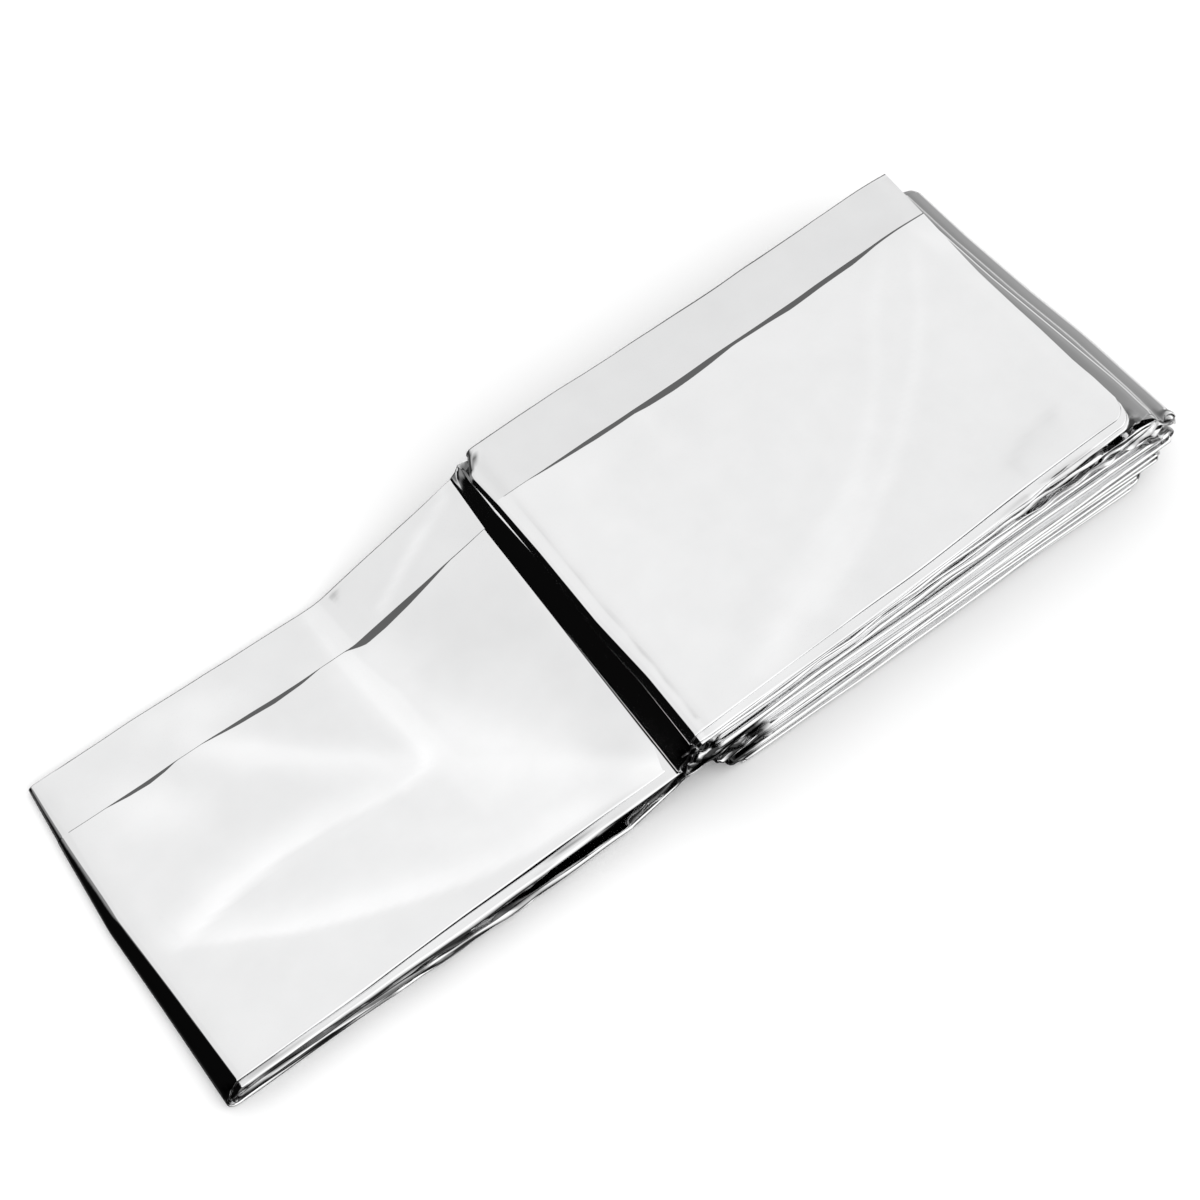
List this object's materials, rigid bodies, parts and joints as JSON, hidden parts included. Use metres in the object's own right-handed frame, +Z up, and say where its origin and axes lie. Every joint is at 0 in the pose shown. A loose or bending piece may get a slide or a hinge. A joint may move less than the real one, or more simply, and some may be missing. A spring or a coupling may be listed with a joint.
{
  "type": "emergency foil blanket",
  "caption": "Emergency foil blanket: mirror-bright film folded back and forth into a flat packet, with a long double run drawn out to the side, lying on a surface.",
  "frame": {"origin": "middle of the bottom face of the bounding box, on the surface that the blanket lies on", "axes": "+X along the folded band from the drawn-out run towards the packet, +Y across the band away from the near edge, +Z up"},
  "size_m": [0.2414, 0.0862, 0.0292],
  "materials": {
    "foil": "mirror-bright metallised polyester film with soft creases and fine fold wrinkles"
  },
  "bodies": {
    "root": {"foil_blanket": "foil"}
  },
  "joints": []
}
